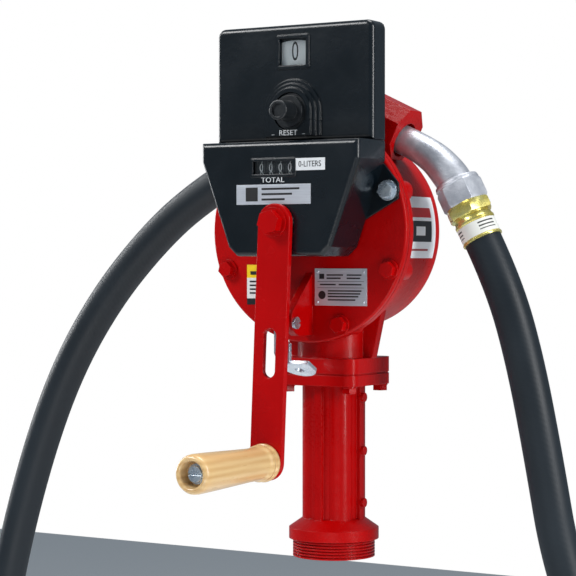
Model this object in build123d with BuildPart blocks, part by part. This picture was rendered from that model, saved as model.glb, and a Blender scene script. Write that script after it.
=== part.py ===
from build123d import *
from math import atan2, cos, degrees, pi, radians, sin, sqrt, tan
import os

# Rotary hand transfer pump: a cast iron vane pump turned by a crank, screwed into a drum bung,
# with a litre counter bolted on its face and a hose that comes back to a parked spout.
# Millimetres. The origin is the centre of the bung thread's lower end. +Z is up, the crank
# and the counter face -Y, and the spout is parked on the +X side.
# "Depth" below is the distance in front of the column's axis, so it is -Y.
os.makedirs("parts", exist_ok=True)

BASE = (Align.CENTER, Align.CENTER, Align.MIN)

# ---- clearances -------------------------------------------------------------
running = 0.05        # radial gap of a shaft in its bush
seat_gap = 0.1        # gap between fixed pieces that slip together
moving_gap = 0.5      # gap between a moving piece and what it passes

# ---- bung adapter -----------------------------------------------------------
thread_od = 60.3
thread_length = 13.0
thread_pitch = 2.209
thread_depth = 1.4
collar_od = 66.0
collar_top = 21.0
collar_flare = 7.0
column_core_r = 21.0
lobe_r = 10.8
lobe_offset = 9.0
rib_width = 6.0
rib_reach = 23.6
suction_r = 16.65
suction_length = 20.0
column_bore_r = 15.0
bump_r = 3.3
bump_reach = 2.6
bump_heights = (40.0, 78.0, 117.0)
adapter_top = 134.0
flange_thick = 8.0
flange_x = 66.0
flange_y = 60.0
flange_corner = 8.0
flange_bolt_x = 26.0
flange_bolt_y = 23.0
flange_bolt_r = 3.0
bolt_hole_gap = 0.4
gasket_thick = 1.0
flange_bolt_head = 5.0
flange_bolt_across = 10.0
flange_washer_r = 5.6
flange_washer = 1.2
flange_bolt_bite = 9.0

# ---- pump housing -----------------------------------------------------------
housing_flange_thick = 11.0
neck_r = 26.5
drum_r = 71.0
drum_wall = 9.0
rim_reach = 9.5
neck_rise = 104.0
drum_back = -36.0
rim_r = drum_r + rim_reach
rim_thick = 5.4
cover_front = 38.5
cover_thick = 4.5
cover_gasket_thick = 0.6
chamber_r = drum_r - drum_wall
chamber_back = -24.0
cover_z = adapter_top + neck_rise
shaft_rise = 5.5
bolt_circle_r = drum_r + 1.5
cover_bolt_count = 8
cover_bolt_r = 3.0
boss_r = 7.5
boss_length = 16.0
gusset_thick = 7.0
gusset_root = 22.0
gusset_foot = 34.0
gusset_reach = 43.0
gusset_waist = 40.0
gusset_height = 56.0
drum_corner = 7.0
cover_corner = 1.6
bolt_thread_wall = 3.0
bolt_across = 10.0
bolt_flange_r = 7.2
bolt_flange = 1.5
bolt_clearance = 1.2
bolt_head = 6.0
cover_bolt_shank = 16.0
bracket_bolt_shank = 18.0
port_r = 11.0

# ---- discharge head ---------------------------------------------------------
holder_slope = 25.5
holder_across = 38.0
holder_end_x = 60.0
holder_end_z = cover_z + drum_r - 2.7
outlet_slope = 28.0
outlet_end_x = -66.0
outlet_end_z = cover_z + drum_r - 16.0
outlet_across = 36.0
spout_drop = 3.6
spout_r = 10.6
spout_bore_r = spout_r + 2.2
spout_depth = 36.0
head_width = 58.0
head_depth = 30.0
head_height = 34.0
head_sink = 8.0
port_rise = 56.0
port_run = 44.0

# ---- rotor and shaft --------------------------------------------------------
rotor_gap = 0.5
rotor_r = chamber_r - shaft_rise - rotor_gap
rotor_side_gap = 0.3
vane_thick = 6.0
vane_height = 20.0
vane_inset = 0.4
vane_count = 4
shaft_r = 8.0
bush_wall = 3.0
bush_length = 10.0
hub_r = 20.0
hub_height = 6.0
gland_across = 26.0
gland_height = 3.2
key_size = 4.0
key_length = 30.0
seal_length = 3.0
shaft_nose = 14.0
shaft_nose_reach = 2.5

# ---- crank ------------------------------------------------------------------
arm_back = 80.0
arm_thick = 4.5
arm_width = 26.0
grip_x = -7.0
crank_throw = 168.5
grip_z = cover_z + shaft_rise - crank_throw
slot_width = 10.0
slot_top = cover_z - 69.0
slot_bottom = cover_z - 103.5
crank_bolt_across = 15.0
crank_bolt_flange_r = 10.5
crank_bolt_head = 8.5
crank_bolt_bite = 14.0
arm_bolt_r = 4.0
arm_edge = 0.6
grip_length = 92.0
grip_r = 11.3
grip_tip_r = 13.2
grip_bore_r = 4.2
grip_counterbore_r = 8.0
grip_counterbore = 9.0
grip_lip = 2.1
grip_lip_length = 4.0
screw_head = 4.0
screw_slot = 1.4

# ---- lug and padlock hasp ---------------------------------------------------
lug_left = -1.5
lug_thick = 6.0
lug_reach = 29.0
lug_top = cover_z - 32.0
lug_bottom = cover_z - 75.0
hasp_pin_depth = 63.0
hasp_pin_z = cover_z - 65.5
hasp_pin_r = 2.5
hasp_knuckle_r = 4.6
hasp_leg_width = 8.0
hasp_left = -10.0
hasp_neck_right = 3.0
hasp_tongue_left = -7.0
hasp_tongue_right = 18.0
hasp_thick = 2.6
hasp_leg = 28.5
hasp_tongue = 21.0
hasp_drop = 28.0
hasp_eye_r = 3.2
hasp_eye_inset = 10.0
hasp_tip_drop = 0.7
pin_head_r = 4.3
pin_head = 2.2
pin_slot = 1.3

# ---- counter ----------------------------------------------------------------
back_plate_thick = 2.0
case_half = 64.5
case_top = cover_z + 146.0
case_split = cover_z + 63.0
upper_front = 58.0
lower_front = 79.0
case_wall = 3.0
taper_top = cover_z + 49.0
taper_bottom = cover_z - 12.0
lower_bottom = cover_z - 18.5
bottom_half = 40.0
case_corner = 6.0
case_edge = 3.6
hub_opening_r = shaft_r + shaft_nose_reach + 4.5
dial_z = cover_z + 84.0
dial_r = 51.0
dial_thick = 1.2
dial_front = 54.7
dial_hub_r = 4.3
window_z = dial_z + 42.5
window_w = 22.0
window_h = 19.0
lens_thick = 1.2
arch_r = 23.0
arch_step = 3.0
arch_bottom = case_split + 3.5
arch_step_height = 1.7
arch_cut = 80.0
window_rim = 2.5
window_rim_height = 1.1
knob_r = 7.2
knob_base_r = 13.0
knob_front = 79.4
reset_spindle_r = 3.0
total_z = cover_z + 43.7
total_window_w = 33.0
total_window_h = 9.0
total_rim_height = 0.8
hub_well = 6.0
hub_well_wall = 2.5
wheel_r = 9.0
wheel_width = 6.8
wheel_pitch = 7.8
wheel_count = 4
wheel_axle_r = 1.5
wheel_mid_x = -3.6

# ---- counter gears ----------------------------------------------------------
gear_module = 1.5
drive_teeth = 24
idler_teeth = 40
idler_small_teeth = 12
dial_teeth = 36
gear_thick = 3.5
drive_gear_back = 48.5
small_gear_back = 44.7
idler_axle_r = 3.0

# ---- plates and labels ------------------------------------------------------
plate_thick = 0.6
nameplate_x = 28.0
nameplate_z = cover_z - 40.3
nameplate_w = 42.5
nameplate_h = 26.5
label_thick = 0.3
label_x = -40.0
label_z = cover_z - 39.0
label_w = 22.0
label_h = 29.0
wrap_thick = 0.4
wrap_back = -24.0
wrap_front = 13.0
wrap_top = radians(20)
wrap_bottom = radians(-16)

# ---- hose and fittings ------------------------------------------------------
hose_od = 27.0
fitting_across = 28.0
fitting_hex = 12.0
ferrule_r = 14.6
ferrule_length = 22.0
spout_hex = 28.5
nut_across = 30.0
nozzle_slope = 63.0
stem_length = 14.0
stem_wall = 3.0
hex_length = 16.0
nut_length = 9.0
nozzle_ferrule_length = 19.0
elbow_out = 42.55
elbow_down = 33.05
bead_start = 3.5
bead_width = 4.0
bead_height = 2.0
hose_route = (
    (-96.02, 0.0, 277.04), (-126.04, 0.0, 261.08), (-166.0, 0.0, 229.5), (-207.0, 0.0, 187.0),
    (-243.0, -1.0, 134.0), (-271.0, -2.0, 72.0), (-297.0, -3.0, -8.0), (-315.0, -4.0, -88.0),
    (-331.0, -4.0, -178.0), (-341.0, -3.0, -280.0), (-341.0, -1.0, -388.0),
    (-324.0, 2.0, -494.0), (-280.0, 6.0, -586.0), (-208.0, 9.0, -652.0), (-112.0, 11.0, -682.0),
    (-8.0, 11.0, -688.0), (96.0, 10.0, -676.0), (182.0, 7.0, -634.0), (238.0, 4.0, -560.0),
    (262.0, 1.0, -462.0), (262.0, -1.0, -358.0), (250.0, -2.0, -256.0), (232.0, -2.0, -158.0),
    (212.0, -1.0, -66.0), (181.0, 0.0, 6.0), (167.0, 0.0, 82.0), (153.5, 0.0, 146.0),
    (137.77, 0.0, 197.83), (120.98, 0.0, 230.80),
)

# ---- worked out from the above ----------------------------------------------
shaft_z = cover_z + shaft_rise
cover_back = cover_front - cover_thick
gasket_back = cover_back - cover_gasket_thick
flange_underside = adapter_top - flange_thick
housing_bottom = adapter_top + gasket_thick
neck_bottom = housing_bottom + housing_flange_thick
bush_r = shaft_r + bush_wall
plate_back = cover_front
plate_front = plate_back + back_plate_thick
boss_gap_r = cover_bolt_r + bolt_hole_gap
arm_front = arm_back + arm_thick
holder_dir = Vector(cos(radians(holder_slope)), 0, -sin(radians(holder_slope)))
holder_up = Vector(sin(radians(holder_slope)), 0, cos(radians(holder_slope)))
outlet_dir = Vector(-cos(radians(outlet_slope)), 0, -sin(radians(outlet_slope)))
nozzle_dir = Vector(cos(radians(nozzle_slope)), 0, -sin(radians(nozzle_slope)))
holder_end = Vector(holder_end_x, 0, holder_end_z)
outlet_end = Vector(outlet_end_x, 0, outlet_end_z)
spout_mouth = holder_end - holder_up * spout_drop
gear_space = (drive_teeth + idler_teeth) * gear_module / 2
dial_space = (idler_small_teeth + dial_teeth) * gear_module / 2
axle_gap = dial_z - shaft_z
idler_rise = (gear_space**2 - dial_space**2 + axle_gap**2) / (2 * axle_gap)
idler_x = sqrt(gear_space**2 - idler_rise**2)
idler_z = shaft_z + idler_rise
arm_lean = atan2(-grip_x, shaft_z - grip_z)
upper_inner = upper_front - case_wall
lower_inner = lower_front - case_wall
wheel_depth = lower_inner - moving_gap - wheel_r


def facing(x, depth, z):
    """A place whose own Z points forward, out of the pump's face."""
    return Location((x, -depth, z), (90, 0, 0))


def turned(x, z, steps, mode=Mode.ADD):
    """Round steps on a front-to-back axis: each is (back depth, front depth, radius)."""
    for back, front, radius in steps:
        with Locations(facing(x, back, z)):
            Cylinder(radius, front - back, align=BASE, mode=mode)


def aimed(point, direction, roll=0):
    """A plane at a point, with its normal along a direction in the XZ plane."""
    return Plane(origin=point, x_dir=(0, 1, 0), z_dir=direction).rotated((0, 0, roll))


def save(piece, name):
    piece.part.label = name
    export_step(piece.part, f"parts/{name}.step")


def gear_sketch(teeth, phase):
    """Straight-sided teeth, slack enough to turn freely; phase is in tooth pitches."""
    pitch_r = teeth * gear_module / 2
    root_r = pitch_r - 1.2 * gear_module
    tip_r = pitch_r + 0.8 * gear_module
    foot = 0.56 * pi * gear_module / 2
    tip = 0.2 * pi * gear_module / 2
    with BuildSketch(mode=Mode.PRIVATE) as profile:
        Circle(root_r)
        with PolarLocations(0, teeth, start_angle=phase * 360 / teeth):
            Polygon((root_r - 1, -foot), (root_r, -foot), (tip_r, -tip), (tip_r, tip),
                    (root_r, foot), (root_r - 1, foot), align=None)
    return profile.sketch


# ---- bung adapter: threaded foot, fluted column and lower flange --------------
flange_bolt_places = [(sx * flange_bolt_x, sy * flange_bolt_y) for sx in (-1, 1) for sy in (-1, 1)]
with BuildPart() as bung_adapter:
    Cylinder(thread_od / 2 - thread_depth, thread_length, align=BASE)
    crest = 0.0
    while crest + thread_pitch * 0.5 < thread_length:
        with Locations((0, 0, crest)):
            Cylinder(thread_od / 2, thread_pitch * 0.5, align=BASE)
        crest += thread_pitch
    with Locations((0, 0, thread_length)):
        Cylinder(collar_od / 2, collar_top - thread_length, align=BASE)
    with Locations((0, 0, collar_top)):
        Cone(collar_od / 2, column_core_r + 2, collar_flare, align=BASE)
    with BuildSketch(Plane.XY.offset(collar_top)):
        Circle(column_core_r)
        with GridLocations(2 * lobe_offset, 2 * lobe_offset, 2, 2):
            Circle(lobe_r)
        Rectangle(2 * rib_reach, rib_width)
        Rectangle(rib_width, 2 * rib_reach)
    extrude(amount=flange_underside - collar_top)
    for height in bump_heights:
        with Locations(Location((rib_reach - 2, 0, height), (0, 90, 0))):
            Cylinder(bump_r, bump_reach + 2, align=BASE)
    with BuildSketch(Plane.XY.offset(flange_underside)):
        RectangleRounded(flange_x, flange_y, flange_corner)
        with Locations(*flange_bolt_places):
            Circle(flange_bolt_r + bolt_hole_gap, mode=Mode.SUBTRACT)
    extrude(amount=flange_thick)
    Cylinder(column_bore_r, adapter_top, align=BASE, mode=Mode.SUBTRACT)
    Cylinder(suction_r, suction_length, align=BASE, mode=Mode.SUBTRACT)
save(bung_adapter, "bung_adapter")

with BuildPart() as adapter_gasket:
    with BuildSketch(Plane.XY.offset(adapter_top)):
        RectangleRounded(flange_x - 1, flange_y - 1, flange_corner)
        Circle(column_bore_r, mode=Mode.SUBTRACT)
        with Locations(*flange_bolt_places):
            Circle(flange_bolt_r + bolt_hole_gap, mode=Mode.SUBTRACT)
    extrude(amount=gasket_thick)
save(adapter_gasket, "adapter_gasket")

with BuildPart() as flange_bolts:
    with BuildSketch(Plane.XY.offset(flange_underside - flange_bolt_head)):
        with Locations(*flange_bolt_places):
            RegularPolygon(flange_bolt_across / 2, 6, major_radius=False)
    extrude(amount=flange_bolt_head - flange_washer)
    with Locations(*[(x, y, flange_underside - flange_washer) for x, y in flange_bolt_places]):
        Cylinder(flange_washer_r, flange_washer, align=BASE)
    with Locations(*[(x, y, flange_underside) for x, y in flange_bolt_places]):
        Cylinder(flange_bolt_r, flange_thick + gasket_thick + flange_bolt_bite, align=BASE)
save(flange_bolts, "flange_bolts")

# ---- pump housing: flange, neck, drum, chamber, nozzle holder and outlet leg ---
cover_bolt_angles = [22.5 + 45 * i for i in range(cover_bolt_count)]
cover_bolt_places = [
    (bolt_circle_r * cos(radians(a)), cover_z + bolt_circle_r * sin(radians(a)))
    for a in cover_bolt_angles
]
bracket_bolt_places = [cover_bolt_places[0], cover_bolt_places[3]]
plain_bolt_places = [p for p in cover_bolt_places if p not in bracket_bolt_places]
holder_reach = holder_end_x / cos(radians(holder_slope))
outlet_reach = -outlet_end_x / cos(radians(outlet_slope))
with BuildPart() as pump_housing:
    with BuildSketch(Plane.XY.offset(housing_bottom)):
        RectangleRounded(flange_x, flange_y, flange_corner)
    extrude(amount=housing_flange_thick)
    with Locations((0, 0, neck_bottom)):
        Cylinder(neck_r, cover_z - neck_bottom - chamber_r / 2, align=BASE)
    with BuildSketch(Plane.XZ.offset(-gusset_thick / 2)):
        with BuildLine():
            Polyline((-gusset_root, neck_bottom), (-gusset_foot, neck_bottom),
                     (-gusset_reach, neck_bottom + gusset_waist),
                     (-gusset_root, neck_bottom + gusset_height),
                     (gusset_root, neck_bottom + gusset_height),
                     (gusset_reach, neck_bottom + gusset_waist),
                     (gusset_foot, neck_bottom), (gusset_root, neck_bottom), close=True)
        make_face()
    extrude(amount=gusset_thick)
    turned(0, cover_z, [(drum_back, gasket_back, drum_r)])
    drum_edges = pump_housing.edges().filter_by(GeomType.CIRCLE).group_by(Axis.Y)[-1]
    fillet(drum_edges, drum_corner)
    turned(0, cover_z, [(gasket_back - rim_thick, gasket_back, rim_r)])
    for x, z in cover_bolt_places:
        turned(x, z, [(gasket_back - boss_length, gasket_back, boss_r)])
    # the head: an octagonal nozzle holder on one side and the outlet leg on the other
    with BuildSketch(aimed(holder_end, -holder_dir)):
        RegularPolygon(holder_across / 2, 8, major_radius=False, rotation=22.5)
    extrude(amount=holder_reach)
    with BuildSketch(aimed(outlet_end, -outlet_dir)):
        RegularPolygon(outlet_across / 2, 8, major_radius=False, rotation=22.5)
    extrude(amount=outlet_reach + 4)
    with Locations((0, 0, cover_z + drum_r - head_sink)):
        Box(head_width, head_depth, head_height, align=BASE)
    # hollows
    turned(0, cover_z, [(chamber_back, gasket_back + 1, chamber_r)], mode=Mode.SUBTRACT)
    turned(0, shaft_z, [(chamber_back - bush_length, chamber_back + 1, bush_r)],
           mode=Mode.SUBTRACT)
    with Locations((0, 0, housing_bottom)):
        Cylinder(column_bore_r, cover_z - housing_bottom - chamber_r + 2, align=BASE,
                 mode=Mode.SUBTRACT)
    with Locations((outlet_end_x / 2, 0, cover_z + chamber_r / 2)):
        Cylinder(port_r, port_rise, align=BASE, mode=Mode.SUBTRACT)
    with BuildSketch(aimed(outlet_end + outlet_dir, -outlet_dir)):
        Circle(port_r)
    extrude(amount=port_run, mode=Mode.SUBTRACT)
    with BuildSketch(aimed(spout_mouth + holder_dir * 20, -holder_dir)):
        Circle(spout_bore_r)
    extrude(amount=20 + spout_depth + 3, mode=Mode.SUBTRACT)
    for x, z in cover_bolt_places:
        turned(x, z, [(gasket_back - boss_length + bolt_thread_wall, gasket_back + 1, cover_bolt_r)],
               mode=Mode.SUBTRACT)
    with Locations(*[(x, y, housing_bottom - 1) for x, y in flange_bolt_places]):
        Cylinder(flange_bolt_r, flange_bolt_bite + 1.5, align=BASE, mode=Mode.SUBTRACT)
save(pump_housing, "pump_housing")

with BuildPart() as cover_gasket:
    turned(0, cover_z, [(gasket_back, cover_back, rim_r - 0.5)])
    turned(0, cover_z, [(gasket_back, cover_back, chamber_r)], mode=Mode.SUBTRACT)
    for x, z in cover_bolt_places:
        turned(x, z, [(gasket_back, cover_back, boss_gap_r)], mode=Mode.SUBTRACT)
save(cover_gasket, "cover_gasket")

# ---- front cover: disc with hub, and the lug that carries the padlock hasp ------
hub_front = cover_front + hub_height
with BuildPart() as front_cover:
    turned(0, cover_z, [(cover_back, cover_front, rim_r)])
    fillet(front_cover.edges().filter_by(GeomType.CIRCLE).sort_by(Axis.Y)[0], cover_corner)
    turned(0, shaft_z, [(cover_front, hub_front, hub_r)])
    with BuildSketch(Plane.YZ.offset(lug_left)):
        with BuildLine():
            Polyline((-cover_front + 1, lug_top + 4), (-cover_front - 1, lug_top),
                     (-cover_front - lug_reach + 2, hasp_pin_z + 9))
            ThreePointArc((-cover_front - lug_reach + 2, hasp_pin_z + 9),
                          (-cover_front - lug_reach, hasp_pin_z + 3),
                          (-cover_front - lug_reach + 6, lug_bottom + 2))
            Polyline((-cover_front - lug_reach + 6, lug_bottom + 2),
                     (-cover_front - lug_reach + 10, lug_bottom), (-cover_front + 1, lug_bottom),
                     (-cover_front + 1, lug_top + 4))
        make_face()
    extrude(amount=lug_thick)
    turned(0, shaft_z, [(cover_back - 1, hub_front + 1, bush_r)], mode=Mode.SUBTRACT)
    for x, z in cover_bolt_places:
        turned(x, z, [(cover_back - 1, cover_front + 1, boss_gap_r)], mode=Mode.SUBTRACT)
    with Locations(Location((lug_left - 1, -hasp_pin_depth, hasp_pin_z), (0, 90, 0))):
        Cylinder(hasp_pin_r, lug_thick + 2, align=BASE, mode=Mode.SUBTRACT)
save(front_cover, "front_cover")


def hex_bolt(x, z, seat, across, flange_r, head, shank_r, shank):
    """A flanged hex bolt driven in from the front, its flange seated at a depth."""
    turned(x, z, [(seat, seat + bolt_flange, flange_r), (seat - shank, seat, shank_r)])
    with BuildSketch(Plane.XZ.offset(seat), mode=Mode.PRIVATE) as head_outline:
        with Locations((x, z)):
            RegularPolygon(across / 2, 6, major_radius=False, rotation=15)
    extrude(head_outline.sketch, amount=head)


with BuildPart() as cover_bolts:
    for x, z in plain_bolt_places:
        hex_bolt(x, z, cover_front, bolt_across, bolt_flange_r, bolt_head, cover_bolt_r,
                 cover_bolt_shank)
save(cover_bolts, "cover_bolts")

with BuildPart() as bracket_bolts:
    for x, z in bracket_bolt_places:
        hex_bolt(x, z, plate_front, bolt_across, bolt_flange_r, bolt_head, cover_bolt_r,
                 bracket_bolt_shank)
save(bracket_bolts, "bracket_bolts")

# ---- shaft, bushes, seal, rotor and vanes ------------------------------------
rotor_back = chamber_back + rotor_side_gap
rotor_front = cover_back - rotor_side_gap
shaft_back = chamber_back - bush_length + 1
key_back = (rotor_back + rotor_front - key_length) / 2
with BuildPart() as rear_bush:
    turned(0, shaft_z, [(chamber_back - bush_length, chamber_back, bush_r)])
    turned(0, shaft_z, [(chamber_back - bush_length, chamber_back, shaft_r + running)],
           mode=Mode.SUBTRACT)
save(rear_bush, "rear_bush")

with BuildPart() as front_bush:
    turned(0, shaft_z, [(cover_back, hub_front - seal_length, bush_r)])
    turned(0, shaft_z, [(cover_back, hub_front, shaft_r + running)], mode=Mode.SUBTRACT)
save(front_bush, "front_bush")

with BuildPart() as shaft_seal:
    turned(0, shaft_z, [(hub_front - seal_length, hub_front, bush_r)])
    turned(0, shaft_z, [(hub_front - seal_length, hub_front, shaft_r + running)],
           mode=Mode.SUBTRACT)
save(shaft_seal, "shaft_seal")

with BuildPart() as seal_gland:
    with BuildSketch(Plane.XZ.offset(hub_front)):
        with Locations((0, shaft_z)):
            RegularPolygon(gland_across / 2, 6, major_radius=False)
            Circle(shaft_r + running, mode=Mode.SUBTRACT)
    extrude(amount=gland_height)
save(seal_gland, "seal_gland")

with BuildPart() as crank_shaft:
    turned(0, shaft_z, [(shaft_back, arm_back, shaft_r)])
    turned(0, shaft_z, [(arm_back - shaft_nose, arm_back, shaft_r + shaft_nose_reach)])
    turned(0, shaft_z, [(arm_back - crank_bolt_bite - 2, arm_back + 1, arm_bolt_r)], mode=Mode.SUBTRACT)
    with Locations((0, -(key_back + key_length / 2), shaft_z + shaft_r)):
        Box(key_size, key_length, key_size, mode=Mode.SUBTRACT)
save(crank_shaft, "crank_shaft")

with BuildPart() as rotor_key:
    with Locations((0, -(key_back + key_length / 2), shaft_z + shaft_r)):
        Box(key_size - seat_gap, key_length - seat_gap, key_size - seat_gap)
save(rotor_key, "rotor_key")

slot_floor = rotor_r - vane_height - 3
vane_slot = vane_height + 6
with BuildPart() as rotor:
    turned(0, shaft_z, [(rotor_back, rotor_front, rotor_r)])
    turned(0, shaft_z, [(rotor_back - 1, rotor_front + 1, shaft_r + seat_gap)],
           mode=Mode.SUBTRACT)
    with Locations((0, -(rotor_back + rotor_front) / 2, shaft_z + shaft_r)):
        Box(key_size, rotor_front - rotor_back + 2, key_size, mode=Mode.SUBTRACT)
    with BuildSketch(Plane.XZ.offset(rotor_back - 1)):
        with Locations((0, shaft_z)):
            with PolarLocations(slot_floor + vane_slot / 2, vane_count, start_angle=45):
                Rectangle(vane_slot, vane_thick)
    extrude(amount=rotor_front - rotor_back + 2, mode=Mode.SUBTRACT)
save(rotor, "rotor")

with BuildPart() as rotor_vanes:
    with BuildSketch(Plane.XZ.offset(rotor_back)):
        with Locations((0, shaft_z)):
            with PolarLocations(rotor_r - vane_inset - vane_height / 2, vane_count,
                                start_angle=45):
                Rectangle(vane_height, vane_thick - 2 * seat_gap)
    extrude(amount=rotor_front - rotor_back)
save(rotor_vanes, "rotor_vanes")

# ---- crank: arm, bolt and turning grip ---------------------------------------
arm_r = arm_width / 2
lean_dir = Vector(-sin(arm_lean), 0, -cos(arm_lean))
arm_span = sqrt(grip_x**2 + (shaft_z - grip_z) ** 2)
arm_plane = Plane(origin=(0, -arm_back, shaft_z), x_dir=lean_dir, z_dir=(0, -1, 0))
slot_mid = (shaft_z - (slot_top + slot_bottom) / 2) / cos(arm_lean)
with BuildPart() as crank_arm:
    with BuildSketch(arm_plane):
        Circle(arm_r)
        with Locations((arm_span / 2, 0)):
            Rectangle(arm_span, arm_width)
        with Locations((arm_span, 0)):
            Circle(arm_r)
            Circle(grip_bore_r, mode=Mode.SUBTRACT)
        Circle(arm_bolt_r, mode=Mode.SUBTRACT)
        with Locations((slot_mid, 0)):
            SlotOverall(slot_top - slot_bottom, slot_width, mode=Mode.SUBTRACT)
    extrude(amount=arm_thick)
    chamfer(crank_arm.edges().group_by(Axis.Y)[0], arm_edge)
save(crank_arm, "crank_arm")

with BuildPart() as crank_bolt:
    hex_bolt(0, shaft_z, arm_front, crank_bolt_across, crank_bolt_flange_r, crank_bolt_head,
             arm_bolt_r, crank_bolt_bite + arm_thick)
save(crank_bolt, "crank_bolt")

grip_back = arm_front + moving_gap
grip_front = grip_back + grip_length
with BuildPart() as crank_grip:
    with BuildSketch(Plane.YZ.offset(grip_x)):
        with BuildLine():
            Polyline((-grip_back, grip_z), (-grip_back, grip_z + grip_r + grip_lip),
                     (-grip_back - grip_lip_length, grip_z + grip_r + grip_lip))
            Spline((-grip_back - grip_lip_length, grip_z + grip_r + grip_lip),
                   (-grip_back - 9, grip_z + grip_r + 0.5),
                   (-grip_back - 32, grip_z + grip_r + 0.9),
                   (-grip_front + 16, grip_z + grip_tip_r + 0.4),
                   (-grip_front + 3, grip_z + grip_tip_r - 1))
            ThreePointArc((-grip_front + 3, grip_z + grip_tip_r - 1),
                          (-grip_front + 0.9, grip_z + grip_tip_r - 2.4),
                          (-grip_front, grip_z + grip_tip_r - 4.4))
            Polyline((-grip_front, grip_z + grip_tip_r - 4.4), (-grip_front, grip_z),
                     (-grip_back, grip_z))
        make_face()
    revolve(axis=Axis((grip_x, 0, grip_z), (0, 1, 0)))
    turned(grip_x, grip_z, [(grip_back - 1, grip_front + 1, grip_bore_r + running)],
           mode=Mode.SUBTRACT)
    turned(grip_x, grip_z, [(grip_front - grip_counterbore, grip_front + 1, grip_counterbore_r)],
           mode=Mode.SUBTRACT)
save(crank_grip, "crank_grip")

screw_seat = grip_front - grip_counterbore + moving_gap
with BuildPart() as grip_spindle:
    turned(grip_x, grip_z, [(arm_back - 4, screw_seat, grip_bore_r)])
    turned(grip_x, grip_z, [(screw_seat, screw_seat + 1.4, grip_counterbore_r - 1),
                            (screw_seat, screw_seat + screw_head, grip_counterbore_r - 2.6),
                            (arm_back - 4, arm_back, grip_bore_r + 2.2)])
    with Locations((grip_x, -screw_seat - screw_head, grip_z)):
        Box(2 * grip_counterbore_r, 2.4, screw_slot, mode=Mode.SUBTRACT)
save(grip_spindle, "grip_spindle")

# ---- padlock hasp: rolled eye and leg beside the lug, wide tongue under it --------
tongue_normal = Vector(0, sin(radians(hasp_drop)), cos(radians(hasp_drop)))
hasp_face = -hasp_pin_depth - hasp_knuckle_r
fold_z = hasp_pin_z - hasp_leg
tongue_mid = (hasp_tongue_left + hasp_tongue_right) / 2
tongue_width = hasp_tongue_right - hasp_tongue_left
fold = Vector(tongue_mid, hasp_face, fold_z)
tongue_plane = Plane(origin=fold, x_dir=(1, 0, 0), z_dir=tongue_normal)
with BuildPart() as hasp:
    with Locations(Location((hasp_left, -hasp_pin_depth, hasp_pin_z), (0, 90, 0))):
        Cylinder(hasp_knuckle_r, hasp_leg_width, align=BASE)
    with BuildSketch(Plane.XZ.offset(-hasp_face - hasp_thick)):
        with BuildLine():
            Polyline((hasp_left, hasp_pin_z), (hasp_left, fold_z + 7), (hasp_tongue_left, fold_z),
                     (hasp_neck_right, fold_z), (hasp_neck_right, lug_bottom - 5),
                     (hasp_left + hasp_leg_width, lug_bottom - 2),
                     (hasp_left + hasp_leg_width, hasp_pin_z), close=True)
        make_face()
    extrude(amount=hasp_thick)
    with BuildSketch(tongue_plane):
        with BuildLine():
            half = tongue_width / 2
            shoulder = hasp_tongue - half * hasp_tip_drop
            Polyline((-half, shoulder), (-half, 0), (half, 0),
                     (half, shoulder))
            ThreePointArc((half, shoulder), (0, hasp_tongue),
                          (-half, shoulder))
        make_face()
        with Locations((0, hasp_tongue - hasp_eye_inset)):
            Circle(hasp_eye_r, mode=Mode.SUBTRACT)
    extrude(amount=hasp_thick)
    with Locations(Location((hasp_left - 1, -hasp_pin_depth, hasp_pin_z), (0, 90, 0))):
        Cylinder(hasp_pin_r + running, hasp_leg_width + 2, align=BASE, mode=Mode.SUBTRACT)
save(hasp, "hasp")

with BuildPart() as hasp_pin:
    with Locations(Location((hasp_left - 1.5, -hasp_pin_depth, hasp_pin_z), (0, 90, 0))):
        Cylinder(hasp_pin_r, lug_left + lug_thick - hasp_left + 1.5, align=BASE)
        Cylinder(hasp_pin_r + 1.2, 1.0, align=BASE)
    with Locations(Location((lug_left + lug_thick, -hasp_pin_depth, hasp_pin_z), (0, 90, 0))):
        Cylinder(pin_head_r, pin_head, align=BASE)
    with Locations((lug_left + lug_thick + pin_head, -hasp_pin_depth, hasp_pin_z)):
        Box(1.6, 2.4 * pin_head_r, pin_slot, mode=Mode.SUBTRACT)
save(hasp_pin, "hasp_pin")

# ---- counter: back plate with ears, upper and lower case ------------------------
ear_x, ear_z = bracket_bolt_places[0]
with BuildPart() as counter_bracket:
    with BuildSketch(Plane.XZ.offset(plate_back)):
        with BuildLine():
            Polyline((-case_half + 2, case_top - 2), (case_half - 2, case_top - 2),
                     (case_half - 2, ear_z + 20), (ear_x + 8, ear_z + 5), (ear_x + 8, ear_z - 6),
                     (bottom_half + 2, ear_z - 24), (hub_r + 9, lower_bottom + 6),
                     (-hub_r - 9, lower_bottom + 6), (-bottom_half - 2, ear_z - 24),
                     (-ear_x - 8, ear_z - 6), (-ear_x - 8, ear_z + 5),
                     (-case_half + 2, ear_z + 20), close=True)
        make_face()
        with Locations((0, shaft_z)):
            Circle(hub_r + seat_gap, mode=Mode.SUBTRACT)
        with Locations(*[(x, z) for x, z in cover_bolt_places[:4]]):
            Circle(bolt_flange_r + 1, mode=Mode.SUBTRACT)
        with Locations(*bracket_bolt_places):
            Circle(bolt_flange_r + bolt_clearance)
            Circle(boss_gap_r, mode=Mode.SUBTRACT)
        with Locations((0, dial_z)):
            Circle(reset_spindle_r + running, mode=Mode.SUBTRACT)
    extrude(amount=back_plate_thick)
    turned(idler_x, idler_z, [(plate_front, drive_gear_back + gear_thick + 0.4, idler_axle_r)])
save(counter_bracket, "counter_bracket")

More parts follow.
